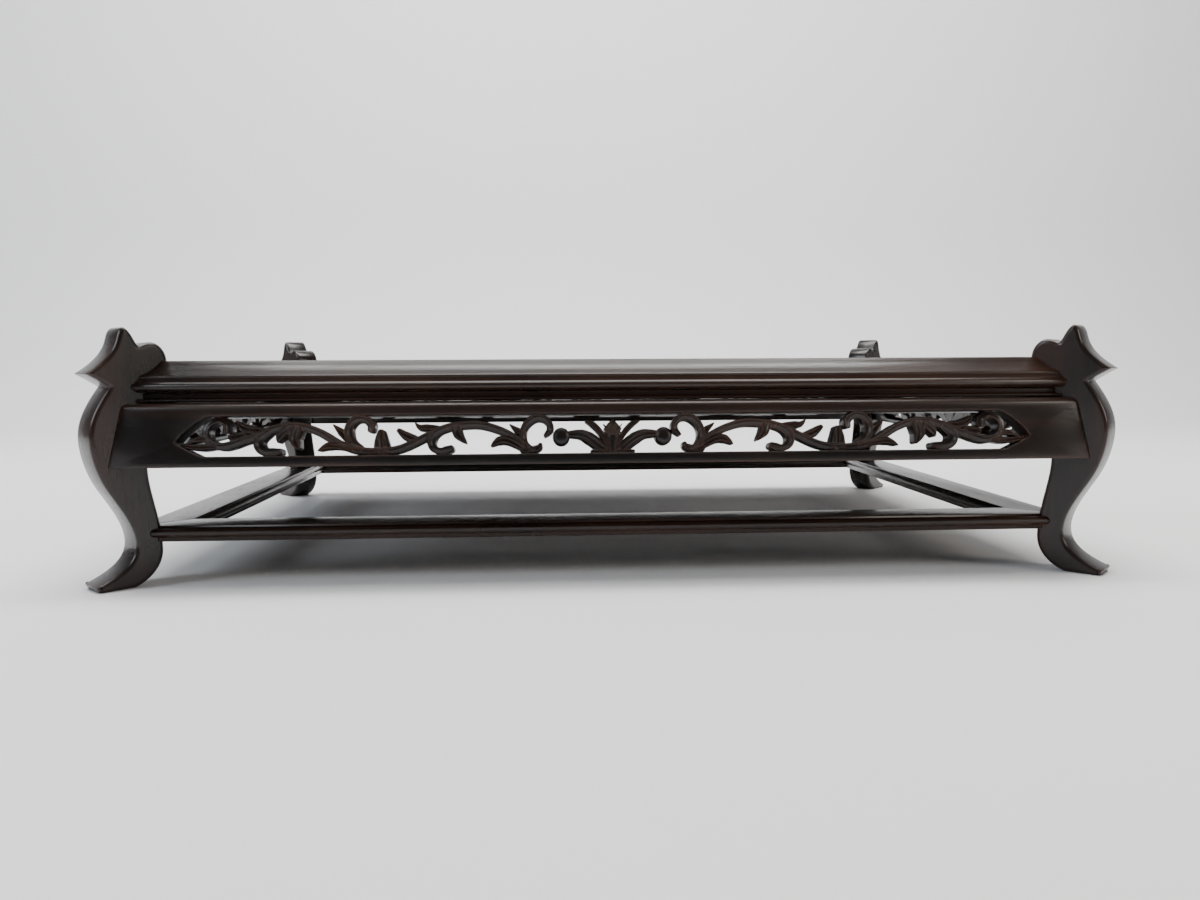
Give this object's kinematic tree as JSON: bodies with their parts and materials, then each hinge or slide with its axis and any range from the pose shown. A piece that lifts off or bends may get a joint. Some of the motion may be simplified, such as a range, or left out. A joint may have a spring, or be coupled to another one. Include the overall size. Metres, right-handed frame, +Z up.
{
  "type": "low display table",
  "caption": "Low display table of dark hardwood: plank legs with crests at the corners, moulded top frame, pierced scroll aprons and a low stretcher frame.",
  "frame": {"origin": "on the floor under the middle of the table", "axes": "+X along the long side, +Z up, the front at -Y"},
  "size_m": [0.653, 0.4414, 0.1605],
  "materials": {
    "leg_wood": "very dark brown hardwood, waxed lacquer with a soft gloss",
    "frame_wood": "very dark brown hardwood, waxed lacquer with a soft gloss",
    "panel_wood": "dark brown hardwood board, waxed lacquer",
    "carved_wood": "dark carved hardwood, satin lacquer rubbed to brown on the high edges",
    "hidden_wood": "plain brown wood, unpolished"
  },
  "bodies": {
    "root": {"leg_front_left": "leg_wood", "leg_front_right": "leg_wood", "leg_back_left": "leg_wood", "leg_back_right": "leg_wood", "top_rail_front": "frame_wood", "top_rail_back": "frame_wood", "top_rail_left": "frame_wood", "top_rail_right": "frame_wood", "top_panel": "panel_wood", "batten_left": "hidden_wood", "batten_right": "hidden_wood", "waist_front": "frame_wood", "waist_back": "frame_wood", "waist_left": "frame_wood", "waist_right": "frame_wood", "apron_front": "carved_wood", "apron_back": "carved_wood", "apron_left": "carved_wood", "apron_right": "carved_wood", "stretcher_front": "frame_wood", "stretcher_back": "frame_wood", "stretcher_left": "frame_wood", "stretcher_right": "frame_wood"}
  },
  "joints": []
}
